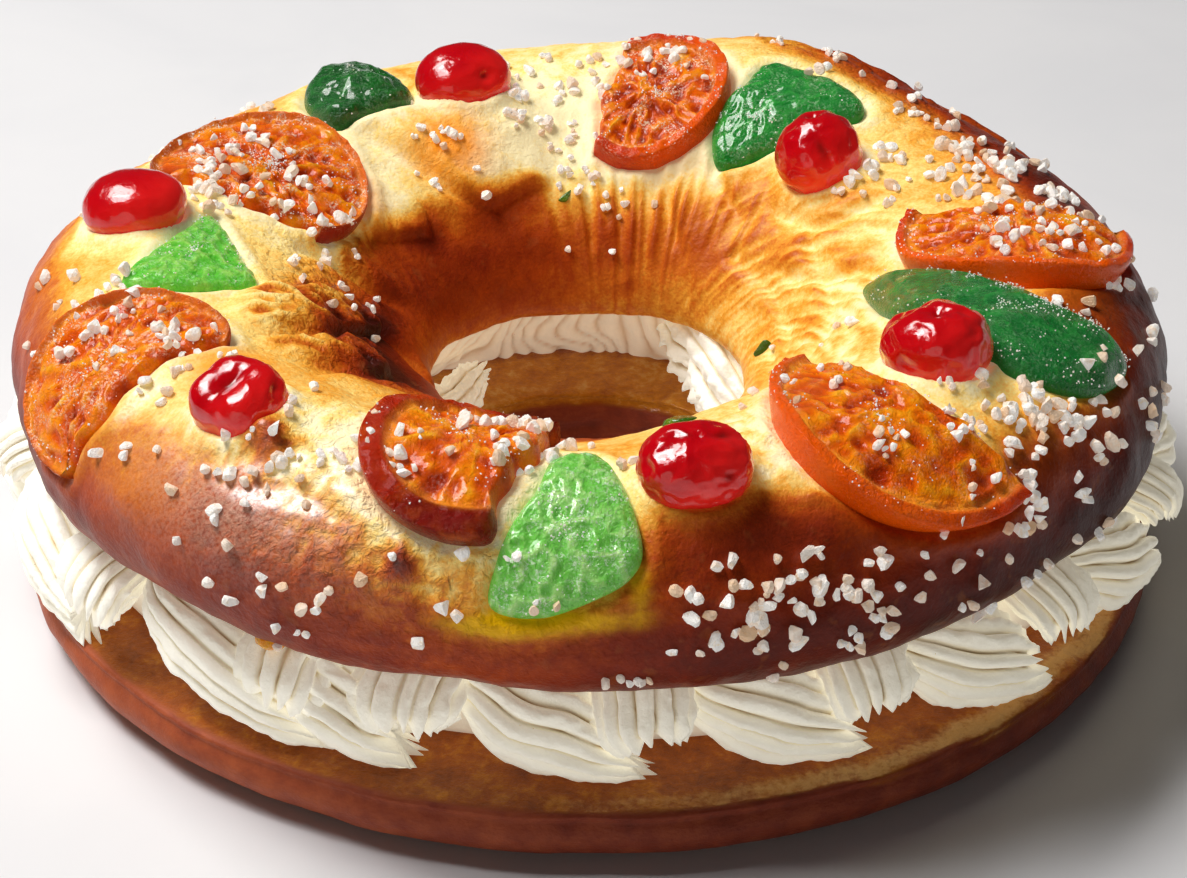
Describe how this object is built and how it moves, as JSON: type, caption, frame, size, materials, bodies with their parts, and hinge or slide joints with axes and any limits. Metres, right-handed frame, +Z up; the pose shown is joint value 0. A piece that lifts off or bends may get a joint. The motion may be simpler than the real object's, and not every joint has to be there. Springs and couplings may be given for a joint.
{
  "type": "roscon de reyes",
  "caption": "Ring of glazed sweet bread cut level, filled with piped cream and topped with candied cherries, green fruit, orange slices and sugar.",
  "frame": {"origin": "centre of the bounding box at the underside, in the middle of the ring's hole, on the surface it stands on", "axes": "+Z up through the hole; -Y towards the front; +X to the right as seen from the front"},
  "size_m": [0.2694, 0.2536, 0.0926],
  "materials": {
    "crust": "glazed golden-brown bread crust, darker on the flanks and pale in the stretched folds",
    "bottom_bun": "brown bread crust with a moist amber cut face",
    "cream": "piped ivory whipped cream with vanilla specks",
    "cherry": "translucent glossy red candied fruit",
    "green_fruit": "translucent green candied fruit with a sugar frost",
    "orange_slice": "translucent candied orange with rind, membranes and a sugar frost",
    "sugar": "translucent white sugar grains"
  },
  "bodies": {
    "root": {"crown": "crust", "base": "bottom_bun", "cream": "cream", "cherry_left": "cherry", "cherry_back": "cherry", "cherry_left_front": "cherry", "cherry_front": "cherry", "cherry_back_right": "cherry", "cherry_right": "cherry", "green_back": "green_fruit", "green_left": "green_fruit", "green_front": "green_fruit", "green_right": "green_fruit", "green_back_right": "green_fruit", "orange_left_back": "orange_slice", "orange_left": "orange_slice", "orange_front_left": "orange_slice", "orange_front_right": "orange_slice", "orange_right_back": "orange_slice", "orange_back": "orange_slice"}
  },
  "joints": []
}
